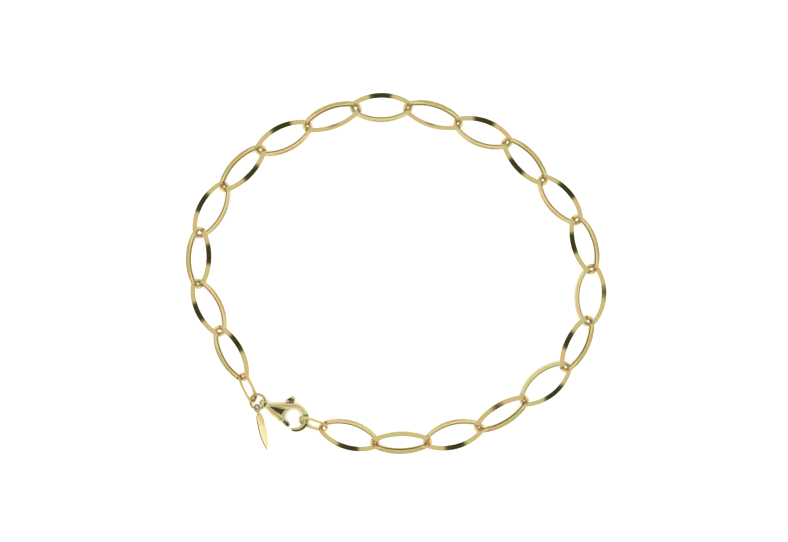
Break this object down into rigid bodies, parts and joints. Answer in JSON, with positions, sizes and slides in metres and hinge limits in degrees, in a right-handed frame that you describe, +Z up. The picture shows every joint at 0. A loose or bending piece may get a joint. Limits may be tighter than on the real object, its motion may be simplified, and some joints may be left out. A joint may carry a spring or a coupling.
{
  "type": "link bracelet",
  "caption": "Gold-tone bracelet of long oval links with a lobster claw clasp and a small bare leaf-shaped tag, lying closed in a loop.",
  "frame": {"origin": "on the resting surface, under the middle of the lying bracelet's outline", "axes": "+Z up from the surface; +X along the longer way across the loop; the clasp is toward -X and -Y"},
  "size_m": [0.0704, 0.0604, 0.0049],
  "materials": {
    "polished_gold": "polished",
    "clasp_gold": "polished",
    "lever_gold": "polished",
    "tag_gold": "polished"
  },
  "bodies": {
    "bracelet": {"link_01": "polished_gold", "link_02": "polished_gold", "link_03": "polished_gold", "link_04": "polished_gold", "link_05": "polished_gold", "link_06": "polished_gold", "link_07": "polished_gold", "link_08": "polished_gold", "link_09": "polished_gold", "link_10": "polished_gold", "link_11": "polished_gold", "link_12": "polished_gold", "link_13": "polished_gold", "link_14": "polished_gold", "link_15": "polished_gold", "link_16": "polished_gold", "link_17": "polished_gold", "link_18": "polished_gold", "link_19": "polished_gold", "link_20": "polished_gold", "end_link_1": "polished_gold", "end_link_2": "polished_gold", "jump_ring": "polished_gold", "tag": "tag_gold", "clasp_body": "clasp_gold", "lever_pin": "clasp_gold"},
    "lever": {"clasp_lever": "lever_gold"}
  },
  "joints": [
    {"name": "lever_swing", "type": "hinge", "parent": "bracelet", "child": "lever", "pos_m": [-0.01925, -0.02421, 0.00096], "axis": [0, 0, 1], "range_deg": [0, 30], "stiffness_Nm_per_rad": 0.005}
  ]
}
